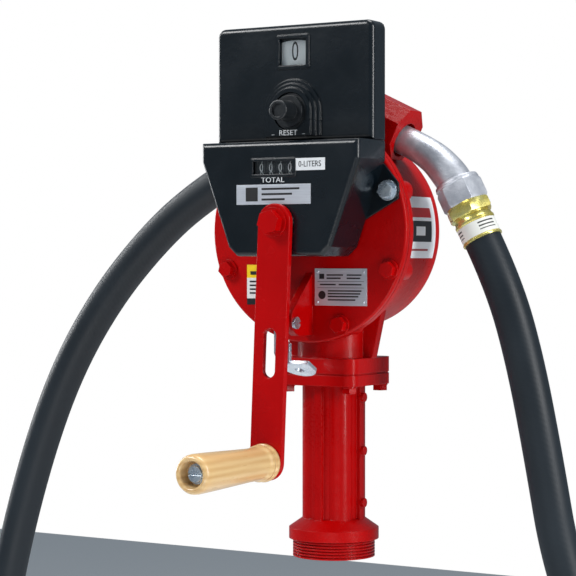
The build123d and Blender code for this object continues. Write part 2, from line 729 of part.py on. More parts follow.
with BuildPart() as upper_case:
    with BuildSketch(Plane.XZ.offset(plate_front)):
        with Locations((0, (case_top + case_split) / 2)):
            Rectangle(2 * case_half, case_top - case_split)
    extrude(amount=upper_front - plate_front)
    fillet(upper_case.edges().filter_by(Axis.Y).group_by(Axis.Z)[-1], case_corner)
    fillet(upper_case.faces().sort_by(Axis.Y)[0].edges(), case_edge)
    with BuildSketch(Plane.XZ.offset(plate_front)):
        with Locations((0, (case_top + case_split) / 2 - case_wall)):
            Rectangle(2 * (case_half - case_wall), case_top - case_split)
    extrude(amount=upper_inner - plate_front, mode=Mode.SUBTRACT)
    # stepped arch round the reset knob
    for step in range(3):
        reach = arch_r - step * arch_step
        with BuildSketch(Plane.XZ.offset(upper_front)):
            with Locations((0, dial_z)):
                Circle(reach)
            with Locations((0, (dial_z + arch_bottom) / 2)):
                Rectangle(2 * reach, dial_z - arch_bottom)
        extrude(amount=(step + 1) * arch_step_height)
    with BuildSketch(Plane.XZ.offset(upper_front)):
        with Locations((0, arch_bottom - 10)):
            Rectangle(arch_cut, 20)
    extrude(amount=3 * arch_step_height, mode=Mode.SUBTRACT)
    turned(0, dial_z, [(upper_inner - 1, upper_front + 8, knob_base_r + moving_gap)],
           mode=Mode.SUBTRACT)
    # window with a raised frame
    with BuildSketch(Plane.XZ.offset(upper_front - 0.5)):
        with Locations((0, window_z)):
            RectangleRounded(window_w + 2 * window_rim, window_h + 2 * window_rim, 1.5)
    extrude(amount=window_rim_height + 0.5)
    with BuildSketch(Plane.XZ.offset(upper_inner - 1)):
        with Locations((0, window_z)):
            Rectangle(window_w, window_h)
    extrude(amount=8, mode=Mode.SUBTRACT)
save(upper_case, "upper_case")

with BuildPart() as dial_window:
    with BuildSketch(Plane.XZ.offset(upper_inner + 0.4)):
        with Locations((0, window_z)):
            Rectangle(window_w, window_h)
    extrude(amount=lens_thick)
save(dial_window, "dial_window")


def lower_outline(inset):
    """The lower case's face: square shoulders tapering to a narrow rounded foot, kept
    clear of the bracket bolts."""
    half = case_half - inset
    foot = bottom_half - inset
    with BuildSketch(mode=Mode.PRIVATE) as outline:
        with BuildLine():
            Polyline((-half, case_split - 0.5 - inset), (half, case_split - 0.5 - inset),
                     (half, taper_top), (foot + 2, taper_bottom), (foot - 5, lower_bottom + inset),
                     (-foot + 5, lower_bottom + inset), (-foot - 2, taper_bottom),
                     (-half, taper_top), close=True)
        make_face()
        fillet(outline.vertices().group_by(Axis.Y)[0], 4)
        with Locations(*bracket_bolt_places):
            Circle(bolt_flange_r + bolt_clearance + inset, mode=Mode.SUBTRACT)
    return outline.sketch


with BuildPart() as lower_case:
    with BuildSketch(Plane.XZ.offset(plate_front)):
        add(lower_outline(0))
    extrude(amount=lower_front - plate_front)
    fillet(lower_case.faces().sort_by(Axis.Y)[0].edges(), case_edge)
    with BuildSketch(Plane.XZ.offset(plate_front)):
        add(lower_outline(case_wall))
    extrude(amount=lower_inner - plate_front, mode=Mode.SUBTRACT)
    with BuildSketch(Plane.XZ.offset(plate_front)):
        with Locations((0, case_split - 5)):
            Rectangle(2 * (case_half - case_wall), 12)
    extrude(amount=upper_inner - plate_front, mode=Mode.SUBTRACT)
    # round well for the crank's hub
    turned(0, shaft_z, [(lower_inner - hub_well, lower_front, hub_opening_r)])
    turned(0, shaft_z, [(lower_inner - hub_well - 1, lower_front + 1,
                         hub_opening_r - hub_well_wall)], mode=Mode.SUBTRACT)
    with BuildSketch(Plane.XZ.offset(lower_front)):
        with Locations((wheel_mid_x, total_z)):
            RectangleRounded(total_window_w + 4, total_window_h + 4, 1.2)
    extrude(amount=total_rim_height)
    with BuildSketch(Plane.XZ.offset(lower_inner - 1)):
        with Locations((wheel_mid_x, total_z)):
            Rectangle(total_window_w, total_window_h)
    extrude(amount=8, mode=Mode.SUBTRACT)
save(lower_case, "lower_case")

with BuildPart() as total_window:
    with BuildSketch(Plane.XZ.offset(lower_inner + 0.8)):
        with Locations((wheel_mid_x, total_z)):
            Rectangle(total_window_w, total_window_h)
    extrude(amount=lens_thick)
save(total_window, "total_window")

# ---- counter works ------------------------------------------------------------
with BuildPart() as drive_gear:
    with BuildSketch(Plane.XZ.offset(drive_gear_back)):
        with Locations((0, shaft_z)):
            add(gear_sketch(drive_teeth, 0))
            Circle(shaft_r, mode=Mode.SUBTRACT)
    extrude(amount=gear_thick)
save(drive_gear, "drive_gear")


# a gear meshes when one of its gaps faces the neighbour's tooth on the line of centres
drive_line = degrees(atan2(idler_rise, idler_x))
idler_phase = ((drive_line + 180) * idler_teeth + drive_line * drive_teeth) / 360 + 0.5
dial_line = degrees(atan2(dial_z - idler_z, -idler_x))
dial_phase = ((dial_line + 180) * dial_teeth + dial_line * idler_small_teeth) / 360 + 0.5
with BuildPart() as idler_gear:
    with BuildSketch(Plane.XZ.offset(drive_gear_back)):
        with Locations((idler_x, idler_z)):
            add(gear_sketch(idler_teeth, idler_phase))
    extrude(amount=gear_thick)
    with BuildSketch(Plane.XZ.offset(small_gear_back)):
        with Locations((idler_x, idler_z)):
            add(gear_sketch(idler_small_teeth, 0))
    extrude(amount=drive_gear_back - small_gear_back)
    turned(idler_x, idler_z, [(small_gear_back - 1, drive_gear_back + gear_thick + 1,
                               idler_axle_r + running)], mode=Mode.SUBTRACT)
save(idler_gear, "idler_gear")

with BuildPart() as dial_wheel:
    with BuildSketch(Plane.XZ.offset(small_gear_back)):
        with Locations((0, dial_z)):
            add(gear_sketch(dial_teeth, dial_phase))
    extrude(amount=gear_thick)
    turned(0, dial_z, [(small_gear_back, dial_front, dial_hub_r),
                       (dial_front - dial_thick, dial_front, dial_r)])
    turned(0, dial_z, [(small_gear_back - 1, dial_front + 1, reset_spindle_r + running)],
           mode=Mode.SUBTRACT)
save(dial_wheel, "dial_wheel")

with BuildPart() as reset_knob:
    turned(0, dial_z, [(plate_back, knob_front - 6, reset_spindle_r)])
    turned(0, dial_z, [(dial_front + moving_gap, upper_front + 4, knob_base_r),
                       (upper_front, upper_front + 7, knob_base_r - 1.8),
                       (upper_front, knob_front, knob_r)])
    fillet(reset_knob.edges().filter_by(GeomType.CIRCLE).sort_by(Axis.Y)[0], 1.2)
    turned(0, dial_z, [(knob_front - 1.6, knob_front + 1, knob_r - 2.4)], mode=Mode.SUBTRACT)
save(reset_knob, "reset_knob")

frame_half = (wheel_count * wheel_pitch) / 2 + 1.2
with BuildPart() as total_frame:
    for side in (-1, 1):
        with BuildSketch(Plane.YZ.offset(wheel_mid_x + side * (frame_half + 1) - 1)):
            with BuildLine():
                Polyline((-lower_inner, total_z - 8), (-lower_inner, total_z + 10),
                         (-wheel_depth + 6, total_z + 10), (-wheel_depth + 6, total_z - 8),
                         close=True)
            make_face()
        extrude(amount=2)
    with Locations(Location((wheel_mid_x - frame_half - 1, -wheel_depth, total_z), (0, 90, 0))):
        Cylinder(wheel_axle_r, 2 * frame_half + 2, align=BASE)
save(total_frame, "total_frame")

wheel_bores = wheel_axle_r + running
for number in range(wheel_count):
    x = wheel_mid_x + (number - (wheel_count - 1) / 2) * wheel_pitch
    with BuildPart() as total_wheel:
        with Locations(Location((x - wheel_width / 2, -wheel_depth, total_z), (0, 90, 0))):
            Cylinder(wheel_r, wheel_width, align=BASE)
            Cylinder(wheel_bores, wheel_width, align=BASE, mode=Mode.SUBTRACT)
    save(total_wheel, f"total_wheel_{number + 1}")

# ---- plates and labels ---------------------------------------------------------
with BuildPart() as nameplate:
    with Locations((nameplate_x, -cover_front - plate_thick / 2, nameplate_z)):
        Box(nameplate_w, plate_thick, nameplate_h)
save(nameplate, "nameplate")

with BuildPart() as cover_label:
    with Locations((label_x, -cover_front - label_thick / 2, label_z)):
        Box(label_w, label_thick, label_h)
save(cover_label, "cover_label")

wrap_reach = drum_r + 20
with BuildPart() as side_label:
    turned(0, cover_z, [(wrap_back, wrap_front, drum_r + wrap_thick)])
    turned(0, cover_z, [(wrap_back - 1, wrap_front + 1, drum_r)], mode=Mode.SUBTRACT)
    with BuildSketch(Plane.XZ.offset(wrap_back - 2)):
        with BuildLine():
            Polyline((0, cover_z),
                     (wrap_reach * cos(wrap_top), cover_z + wrap_reach * sin(wrap_top)),
                     (wrap_reach * cos(wrap_bottom), cover_z + wrap_reach * sin(wrap_bottom)),
                     close=True)
        make_face()
    extrude(amount=wrap_front - wrap_back + 4, mode=Mode.INTERSECT)
save(side_label, "side_label")

# ---- hose fittings --------------------------------------------------------------
with BuildPart() as outlet_fitting:
    with BuildSketch(aimed(outlet_end - outlet_dir * stem_length, outlet_dir)):
        Circle(port_r - seat_gap)
    extrude(amount=stem_length)
    with BuildSketch(aimed(outlet_end, outlet_dir)):
        RegularPolygon(fitting_across / 2, 6, major_radius=False)
    extrude(amount=fitting_hex)
    with BuildSketch(aimed(outlet_end - outlet_dir * (stem_length + 1), outlet_dir)):
        Circle(port_r - stem_wall)
    extrude(amount=stem_length + fitting_hex + 1, mode=Mode.SUBTRACT)
save(outlet_fitting, "outlet_fitting")

with BuildPart() as outlet_ferrule:
    with BuildSketch(aimed(outlet_end + outlet_dir * fitting_hex, outlet_dir)):
        Circle(ferrule_r)
    extrude(amount=ferrule_length)
save(outlet_ferrule, "outlet_ferrule")

elbow = spout_mouth + Vector(elbow_out, 0, -elbow_down)
with BuildPart() as spout:
    with BuildLine(Plane.XZ) as spout_path:
        tail = spout_mouth - holder_dir * spout_depth
        lip = spout_mouth + holder_dir * 9
        FilletPolyline((tail.X, tail.Z), (lip.X, lip.Z), (elbow.X - 9, elbow.Z + 12.5),
                       (elbow.X, elbow.Z), radius=(24, 12))
    with BuildSketch(aimed(tail, holder_dir)):
        Circle(spout_r)
    sweep(path=spout_path.line)
    with BuildSketch(aimed(spout_mouth + holder_dir * bead_start, holder_dir)):
        Circle(spout_r + bead_height)
    extrude(amount=bead_width)
    with Locations((elbow.X, 0, elbow.Z)):
        Sphere(spout_r + 0.6)
    with BuildSketch(aimed(elbow - nozzle_dir * 3, nozzle_dir)):
        RegularPolygon(spout_hex / 2, 6, major_radius=False)
    extrude(amount=hex_length + 3)
save(spout, "spout")

nut_start = elbow + nozzle_dir * hex_length
with BuildPart() as swivel_nut:
    with BuildSketch(aimed(nut_start, nozzle_dir)):
        RegularPolygon(nut_across / 2, 6, major_radius=False, rotation=12)
    extrude(amount=nut_length)
save(swivel_nut, "swivel_nut")

with BuildPart() as nozzle_ferrule:
    with BuildSketch(aimed(nut_start + nozzle_dir * nut_length, nozzle_dir)):
        Circle(ferrule_r)
    extrude(amount=nozzle_ferrule_length)
save(nozzle_ferrule, "nozzle_ferrule")

# ---- hose: one free length from the outlet ferrule round to the spout's ferrule -----
route = [Vector(*point) for point in hose_route]
bend_radii = []
for before, here, after in zip(route, route[1:], route[2:]):
    turn = (here - before).get_angle(after - here)
    short_run = min((here - before).length, (after - here).length)
    bend_radii.append(0.45 * short_run / tan(radians(turn) / 2))
with BuildPart() as hose:
    with BuildLine() as hose_path:
        FilletPolyline(*route, radius=bend_radii)
    with BuildSketch(Plane(origin=route[0], x_dir=(0, 1, 0), z_dir=route[1] - route[0])):
        Circle(hose_od / 2)
    sweep(path=hose_path.line)
hose_length = hose_path.wire().length
print("hose length", round(hose_length), "volume over section x length",
      round(hose.part.volume / (pi * hose_od**2 / 4 * hose_length), 4))
save(hose, "hose")
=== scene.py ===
from math import atan2, cos, pi, radians, sin

import bmesh
import bpy
from mathutils import Matrix, Vector


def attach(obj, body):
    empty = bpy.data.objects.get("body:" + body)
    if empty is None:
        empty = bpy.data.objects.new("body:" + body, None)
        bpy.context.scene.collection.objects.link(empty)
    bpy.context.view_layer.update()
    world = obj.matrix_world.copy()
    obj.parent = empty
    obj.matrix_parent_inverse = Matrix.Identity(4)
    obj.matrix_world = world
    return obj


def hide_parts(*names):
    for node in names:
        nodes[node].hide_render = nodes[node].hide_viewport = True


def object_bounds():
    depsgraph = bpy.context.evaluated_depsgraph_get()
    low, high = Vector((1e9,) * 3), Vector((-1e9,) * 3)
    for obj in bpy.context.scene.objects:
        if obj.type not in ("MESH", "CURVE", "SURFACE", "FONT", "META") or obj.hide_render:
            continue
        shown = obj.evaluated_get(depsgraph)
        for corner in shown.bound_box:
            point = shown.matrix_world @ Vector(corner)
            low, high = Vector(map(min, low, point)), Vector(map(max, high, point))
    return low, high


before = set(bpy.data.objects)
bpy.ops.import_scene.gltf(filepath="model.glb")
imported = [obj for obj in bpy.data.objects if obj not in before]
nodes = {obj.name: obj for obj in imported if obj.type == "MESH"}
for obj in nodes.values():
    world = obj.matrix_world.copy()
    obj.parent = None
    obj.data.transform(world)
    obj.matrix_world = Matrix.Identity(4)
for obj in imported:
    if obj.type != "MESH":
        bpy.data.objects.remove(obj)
cad_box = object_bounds()

# ---- Camera ----------------------------------------------------------------------------
# A level view from the spout's side of the front, from a little under a metre and a
# half away, with the pump right of the middle.
view_turn = radians(30)
view_distance = 1.434
view_height = 0.217
aim_left = 0.0338
aim_height = 0.1964
camera_data = bpy.data.cameras.new("camera")
camera_data.lens = 121.9
camera_data.sensor_width = 36.0
camera = bpy.data.objects.new("camera", camera_data)
bpy.context.scene.collection.objects.link(camera)
toward_eye = Vector((sin(view_turn), -cos(view_turn), 0))
view_right = Vector((cos(view_turn), sin(view_turn), 0))
camera.location = toward_eye * view_distance + Vector((0, 0, view_height))
aim = view_right * -aim_left + Vector((0, 0, aim_height))
camera.rotation_euler = (aim - camera.location).to_track_quat("-Z", "Y").to_euler()
bpy.context.scene.camera = camera

# ---- Hose ------------------------------------------------------------------------------
# Wrapped-finish rubber hose, one length from the outlet ferrule behind the counter
# down in a free hanging loop and up to the parked spout.
hose_od = 0.027
hose_route = (
    (-0.09602, 0.0, 0.27704), (-0.12604, 0.0, 0.26108), (-0.166, 0.0, 0.2295),
    (-0.207, 0.0, 0.187), (-0.243, -0.001, 0.134), (-0.271, -0.002, 0.072),
    (-0.297, -0.003, -0.008), (-0.315, -0.004, -0.088), (-0.331, -0.004, -0.178),
    (-0.341, -0.003, -0.280), (-0.341, -0.001, -0.388), (-0.324, 0.002, -0.494),
    (-0.280, 0.006, -0.586), (-0.208, 0.009, -0.652), (-0.112, 0.011, -0.682),
    (-0.008, 0.011, -0.688), (0.096, 0.010, -0.676), (0.182, 0.007, -0.634),
    (0.238, 0.004, -0.560), (0.262, 0.001, -0.462), (0.262, -0.001, -0.358),
    (0.250, -0.002, -0.256), (0.232, -0.002, -0.158), (0.212, -0.001, -0.066),
    (0.181, 0.0, 0.006), (0.167, 0.0, 0.082), (0.1535, 0.0, 0.146),
    (0.13777, 0.0, 0.19783), (0.12098, 0.0, 0.23080),
)


class Val:
    """A number or colour socket that takes part in ordinary sums."""

    def __init__(self, mat, out):
        self.mat = mat
        self.out = out

    def _sum(self, how, other, swap=False):
        a, b = (other, self) if swap else (self, other)
        return self.mat.node("Math", {"operation": how}, {0: a, 1: b})

    def __add__(self, other):
        return self._sum("ADD", other)

    __radd__ = __add__

    def __mul__(self, other):
        return self._sum("MULTIPLY", other)

    __rmul__ = __mul__

    def __sub__(self, other):
        return self._sum("SUBTRACT", other)

    def __rsub__(self, other):
        return self._sum("SUBTRACT", other, True)

    def __gt__(self, other):
        return self._sum("GREATER_THAN", other)


class Finish:
    """One surface finish: a material, its main shader and the nodes that drive it."""

    def __init__(self, name, **constants):
        self.material = bpy.data.materials.new(name)
        self.material.use_nodes = True
        self.tree = self.material.node_tree
        self.shader = self.tree.nodes["Principled BSDF"]
        for key, value in constants.items():
            self.shader.inputs[key.replace("_", " ")].default_value = value

    def node(self, kind, settings=None, inputs=None, output=0):
        made = self.tree.nodes.new("ShaderNode" + kind)
        for key, value in (settings or {}).items():
            setattr(made, key, value)
        for key, value in (inputs or {}).items():
            self.join(value, made.inputs[key])
        return Val(self, made.outputs[output])

    def join(self, value, socket):
        if isinstance(value, Val):
            self.tree.links.new(value.out, socket)
        else:
            socket.default_value = value

    def place(self, scale, kind="Object"):
        spot = self.node("TexCoord", output=kind)
        return self.node("Mapping", None, {"Vector": spot, "Scale": scale})

    def noise(self, scale, detail=2.0, rough=0.5, at=None):
        spot = at or self.node("TexCoord", output="Object")
        return self.node("TexNoise", None, {"Vector": spot, "Scale": scale, "Detail": detail,
                                            "Roughness": rough})

    def range(self, value, low, high, to_low=0.0, to_high=1.0):
        return self.node("MapRange", None, {"Value": value, "From Min": low, "From Max": high,
                                            "To Min": to_low, "To Max": to_high})

    def blend(self, mask, first, second):
        made = self.tree.nodes.new("ShaderNodeMix")
        made.data_type = "RGBA"
        self.join(mask, made.inputs[0])
        self.join(first, made.inputs[6])
        self.join(second, made.inputs[7])
        return Val(self, made.outputs[2])

    def set(self, **values):
        for key, value in values.items():
            self.join(value, self.shader.inputs[key.replace("_", " ")])

    def relief(self, height, depth, edge):
        """Bumps of a depth in metres, over edges softened to a radius."""
        inputs = {"Height": height, "Distance": depth}
        if edge:
            inputs["Normal"] = self.node("Bevel", {"samples": 6}, {"Radius": edge})
        self.set(Normal=self.node("Bump", None, inputs))

    def wear(self, *names):
        """Give this finish to carried CAD pieces."""
        for name in names:
            nodes[name].data.materials.clear()
            nodes[name].data.materials.append(self.material)


def rgb(red, green, blue):
    """A screen colour, 0 to 255, as linear light."""
    def linear(v):
        v = v / 255
        return v / 12.92 if v <= 0.04045 else ((v + 0.055) / 1.055) ** 2.4
    return (linear(red), linear(green), linear(blue), 1.0)


def shaped(name, build, finish, sharp=35):
    """A piece from a finished bmesh: outward faces, smooth shading with crisp edges."""
    bmesh.ops.remove_doubles(build, verts=build.verts, dist=1e-6)
    bmesh.ops.recalc_face_normals(build, faces=build.faces)
    mesh = bpy.data.meshes.new(name)
    build.to_mesh(mesh)
    build.free()
    mesh.materials.append(finish.material)
    mesh.shade_smooth()
    mesh.set_sharp_from_angle(angle=radians(sharp))
    made = bpy.data.objects.new(name, mesh)
    bpy.context.scene.collection.objects.link(made)
    return made


def put(piece, body, slot, *stands_for):
    """Ride a finished piece on a body and hide the CAD nodes it stands for; the slot is not
    used.
    """
    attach(piece, body)
    if stands_for:
        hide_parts(*stands_for)


rubber = Finish("hose_rubber", Specular_IOR_Level=0.35)
wrap = rubber.node("TexWave", {"bands_direction": "DIAGONAL"},
                   {"Vector": rubber.place(kind="UV", scale=(260, 9, 1)), "Scale": 1.0,
                    "Distortion": 0.6, "Detail": 1.0})
bloom = rubber.noise(9, 4, 0.6)
grit = rubber.noise(1400, 2)
rubber.set(Base_Color=rubber.blend(bloom * 0.8, rgb(12, 18, 24), rgb(34, 44, 52)),
           Roughness=rubber.range(bloom + grit * 0.3, 0.3, 1.0, 0.36, 0.6))
rubber.relief(wrap * 0.4 + grit * 0.6, 0.00007, edge=0)

hose_curve = bpy.data.curves.new("hose_line", "CURVE")
hose_curve.dimensions = "3D"
line = hose_curve.splines.new("NURBS")
line.points.add(len(hose_route) - 1)
for point, place in zip(line.points, hose_route):
    point.co = (*place, 1)
line.order_u = 3
line.use_endpoint_u = True
line.resolution_u = 10
hose_curve.bevel_depth = hose_od / 2
hose_curve.bevel_resolution = 10
hose_curve.use_fill_caps = True
hose_curve.materials.append(rubber.material)
hose = bpy.data.objects.new("rubber_hose", hose_curve)
bpy.context.scene.collection.objects.link(hose)
put(hose, "pump_body", "hose", "hose")

# ---- Cast red parts --------------------------------------------------------------------
# Sand-cast iron under gloss red enamel: the bung adapter, the housing and the cover.
# The enamel is thick enough to round the edges but shows the sand skin beneath.
enamel = Finish("red_enamel_on_casting", Coat_Weight=0.06, Coat_Roughness=0.06,
                Specular_IOR_Level=0.14)
cloud = enamel.noise(14, 3, 0.55)
skin = enamel.noise(520, 3, 0.6)
peel = enamel.noise(150, 2, 0.5)
enamel.set(Base_Color=enamel.blend(enamel.range(cloud, 0.3, 0.7), rgb(160, 0, 1),
                                   rgb(184, 2, 3)),
           Roughness=enamel.range(skin * 0.5 + cloud * 0.5, 0.3, 0.7, 0.24, 0.40))
enamel.relief(skin * 0.5 + peel, 0.00028, edge=0.0011)
enamel.wear("bung_adapter", "pump_housing", "front_cover", "adapter_gasket")

# ---- Red bolts and crank arm -----------------------------------------------------------
# Flanged hexagon bolts and the flat bar crank, sprayed with the same red over smooth
# rolled steel, so the coat is glossier and the relief finer.
paint = Finish("red_enamel_on_steel", Coat_Weight=0.07, Coat_Roughness=0.06,
               Specular_IOR_Level=0.14)
film = paint.noise(60, 2, 0.5)
run = paint.noise(12, 3, 0.5)
paint.set(Base_Color=paint.blend(paint.range(run, 0.3, 0.7), rgb(166, 1, 3), rgb(184, 4, 5)),
          Roughness=paint.range(film, 0.3, 0.7, 0.2, 0.3))
paint.relief(film, 0.00012, edge=0.0006)
paint.wear("flange_bolts", "cover_bolts", "crank_arm", "crank_bolt")

# ---- Black counter cases ---------------------------------------------------------------
# Die-cast shells and the pressed bracket in glossy black stoving enamel.
black = Finish("black_stoving_enamel", Coat_Weight=0.15, Coat_Roughness=0.05,
               Specular_IOR_Level=0.4)
haze = black.noise(18, 3, 0.6)
orange = black.noise(240, 2, 0.5)
black.set(Base_Color=black.blend(haze, rgb(2, 8, 13), rgb(7, 18, 26)),
          Roughness=black.range(haze, 0.3, 0.7, 0.2, 0.34))
black.relief(orange, 0.00012, edge=0.0012)
black.wear("counter_bracket", "upper_case", "lower_case")

moulded = Finish("black_moulding", Specular_IOR_Level=0.5)
speck = moulded.noise(700, 2, 0.5)
moulded.set(Base_Color=moulded.blend(moulded.noise(30, 3), rgb(13, 15, 18), rgb(26, 30, 34)),
            Roughness=moulded.range(speck, 0.3, 0.7, 0.28, 0.42))
moulded.relief(speck, 0.00006, edge=0.0005)
moulded.wear("reset_knob")

# ---- Zinc plated parts -----------------------------------------------------------------
# Bracket bolts, hasp, pin, grip screw and the outlet fitting: bright zinc with the cool
# mottling that the plating bath leaves.
zinc = Finish("bright_zinc", Metallic=0.85)
mottle = zinc.noise(130, 4, 0.65)
drag = zinc.noise(900, 2, 0.5)
zinc.set(Base_Color=zinc.blend(zinc.range(mottle, 0.3, 0.7), rgb(176, 190, 204),
                               rgb(226, 234, 240)),
         Roughness=zinc.range(mottle, 0.3, 0.7, 0.2, 0.38))
zinc.relief(drag * 0.5 + mottle, 0.00008, edge=0.0005)
zinc.wear("bracket_bolts", "hasp", "hasp_pin", "grip_spindle", "outlet_fitting",
          "outlet_ferrule")

# ---- Spout -----------------------------------------------------------------------------
# Cast aluminium tube and hexagon, tumbled grey, with a soft dull sheen.
alloy = Finish("tumbled_aluminium", Metallic=0.7)
mottle = alloy.noise(45, 5, 0.65)
pits = alloy.noise(620, 3, 0.6)
alloy.set(Base_Color=alloy.blend(alloy.range(mottle, 0.3, 0.7), rgb(168, 172, 182),
                                 rgb(220, 222, 228)),
          Roughness=alloy.range(mottle + pits * 0.4, 0.4, 0.9, 0.30, 0.5))
alloy.relief(pits * 0.6 + mottle, 0.00035, edge=0.0012)


def skin(build, rings):
    """Join rings of as many corners each into one closed skin."""
    for near, far in zip(rings, rings[1:]):
        bmesh.ops.bridge_loops(build, edges=near + far)
    bmesh.ops.holes_fill(build, edges=rings[0] + rings[-1])


def ring(build, centre, side, other, out, sides):
    """Add a ring of corners about a centre, the first of them toward a side."""
    turned = Matrix((-other, side, side.cross(other))).transposed().to_4x4()
    made = bmesh.ops.create_circle(build, segments=sides, radius=out,
                                   matrix=Matrix.Translation(centre) @ turned)["verts"]
    return made, list({edge for corner in made for edge in corner.link_edges})


def tube(build, route, sides=40):
    """Skin (point, radius) rings along a bend in the XZ plane, capped at both ends."""
    rings = []
    for at, (point, out) in enumerate(route):
        before = Vector(route[max(at - 1, 0)][0])
        after = Vector(route[min(at + 1, len(route) - 1)][0])
        across = Vector((0, 1, 0))
        side = (after - before).normalized().cross(across).normalized()
        rings.append(ring(build, point, side, across, out, sides)[1])
    skin(build, rings)


def hexagon(build, across, length, start, along, chamfer, roll=0.0):
    """Add a hexagon bar along an axis, its corners eased at both ends."""
    corner_reach = 1.15
    end_share = 0.93
    sides = 24
    along = Vector(along).normalized()
    side = Matrix.Rotation(roll, 3, along) @ along.orthogonal().normalized()
    other = along.cross(side)
    rings = []
    for far, share in ((0, end_share), (chamfer, 1.0), (length - chamfer, 1.0),
                       (length, end_share)):
        centre = Vector(start) + along * far
        corners, edges = ring(build, centre, side, other, across / 2, sides)
        for corner in corners:
            spoke = corner.co - centre
            from_flat = atan2(spoke.dot(other), spoke.dot(side)) % (pi / 3)
            from_corner = abs(from_flat - pi / 6)
            reach = min(1 / cos(pi / 6 - from_corner), corner_reach * share)
            corner.co = centre + spoke * reach
        rings.append(edges)
    skin(build, rings)


def eased(controls, count):
    """Points and radii on a smooth line through (x, z, radius) controls, in millimetres."""
    route = []
    for at in range(len(controls) - 1):
        a, b = controls[max(at - 1, 0)], controls[at]
        c, d = controls[at + 1], controls[min(at + 2, len(controls) - 1)]
        for step in range(count):
            t = step / count
            x, z, out = (0.5 * (2 * q + (r - p) * t + (2 * p - 5 * q + 4 * r - w) * t * t
                                + (3 * q - p - 3 * r + w) * t ** 3)
                         for p, q, r, w in zip(a, b, c, d))
            route.append(((x / 1000, 0, z / 1000), out / 1000))
    return route


nozzle_dip = radians(63)
nozzle_along = Vector((cos(nozzle_dip), 0, -sin(nozzle_dip)))
elbow = Vector((0.101, 0, 0.27))
spout_bend = ((26.0, 318.5, 10.5), (58.45, 303.05, 10.6), (66.5, 299.2, 10.7),
              (75.5, 294.2, 11.2), (84.0, 288.4, 11.9), (91.2, 281.4, 12.6),
              (97.0, 274.5, 13.0), (100.6, 268.4, 12.6), (102.8, 264.2, 11.6))
spout_collar = ((-0.0032, 0.0120), (-0.0026, 0.0158), (-0.0004, 0.0163), (0.0004, 0.0158),
                (0.0010, 0.0120))
hexagon_across = 0.0300
hexagon_length = 0.0155
hexagon_offset = 0.0005
hexagon_chamfer = 0.0018
build = bmesh.new()
tube(build, eased(spout_bend, 5))
tube(build, [(elbow + nozzle_along * far, out) for far, out in spout_collar])
hexagon(build, hexagon_across, hexagon_length, elbow + nozzle_along * hexagon_offset,
        nozzle_along, hexagon_chamfer)
put(shaped("cast_spout", build, alloy, 24), "pump_body", "cast_aluminium", "spout")

# ---- Yellow chromate nut and ferrule ---------------------------------------------------
# Zinc with a yellow passivation that drifts from straw to green.
chromate = Finish("yellow_chromate", Metallic=0.75)
drift = chromate.noise(38, 3, 0.6)
grain = chromate.noise(300, 3, 0.6)
chromate.set(Base_Color=chromate.blend(chromate.range(drift, 0.35, 0.65), rgb(214, 192, 88),
                                       rgb(228, 228, 158)),
             Roughness=chromate.range(grain, 0.3, 0.7, 0.2, 0.34))
chromate.relief(grain, 0.00002, edge=0.0004)


def lathe(build, profile, start, along, steps=64):
    """Turn a closed loop of (distance, radius) pairs round an axis."""
    start = Vector(start)
    along = Vector(along).normalized()
    side = along.orthogonal().normalized()
    verts = [build.verts.new(start + along * far + side * out) for far, out in profile]
    edges = [build.edges.new(pair) for pair in zip(verts, verts[1:] + verts[:1])]
    bmesh.ops.spin(build, geom=verts + edges, cent=start, axis=along, angle=2 * pi,
                   steps=steps)
    bmesh.ops.remove_doubles(build, verts=build.verts, dist=1e-6)


nut_start = Vector((0.108264, 0, 0.2557446))
nut_across = 0.030
nut_length = 0.0085
nut_chamfer = 0.0014
nut_roll = radians(12)
nut_neck = 0.0126
nut_end = 0.0105
build = bmesh.new()
hexagon(build, nut_across, nut_length, nut_start, nozzle_along, nut_chamfer, nut_roll)
lathe(build, [(nut_length, 0.0), (nut_length, nut_neck), (nut_end, nut_neck), (nut_end, 0.0)],
      nut_start, nozzle_along)
put(shaped("swivel_nut_eased", build, chromate, 25), "pump_body", "brass", "swivel_nut")

ferrule_start = nut_start + nozzle_along * 0.009
ferrule_profile = [
    (0.0, 0.0), (0.0, 0.0122), (0.0012, 0.0136), (0.0030, 0.0139), (0.0042, 0.0146),
    (0.0056, 0.0146), (0.0064, 0.0139), (0.0170, 0.0140), (0.0178, 0.0147),
    (0.0189, 0.0146), (0.0190, 0.0137), (0.0190, 0.0)]
build = bmesh.new()
lathe(build, ferrule_profile, ferrule_start, nozzle_along)
put(shaped("crimped_ferrule", build, chromate, 30), "pump_body", "brass", "nozzle_ferrule")

band_start = 0.0066
band_end = 0.0168
band_inner = 0.0138
band_outer = 0.01425
band = Finish("ferrule_band", Roughness=0.4)
band_spot = band.node("TexCoord", output="Object")
band_far = (band.node("SeparateXYZ", None, {0: band_spot}, 0) * nozzle_along.x
            + band.node("SeparateXYZ", None, {0: band_spot}, 2) * nozzle_along.z
            - ferrule_start.dot(nozzle_along))
band_side = band.node("SeparateXYZ", None, {0: band_spot}, 1)
band_bars = ((band_far > 0.0085) * (1 - (band_far > 0.0095))
             + (band_far > 0.0110) * (1 - (band_far > 0.0120))
             + (band_far > 0.0135) * (1 - (band_far > 0.0142))) * (
                 1 - (band_side > -0.0020)) * (band_side > -0.0125)
band.set(Base_Color=band.blend(band_bars, rgb(226, 226, 220), rgb(40, 40, 40)))
band.relief(band.noise(80, 3), 0.00001, edge=0)
build = bmesh.new()
lathe(build, [(band_start, band_inner), (band_start, band_outer), (band_end, band_outer),
              (band_end, band_inner)], ferrule_start, nozzle_along)
put(shaped("ferrule_label", build, band), "pump_body", "label")

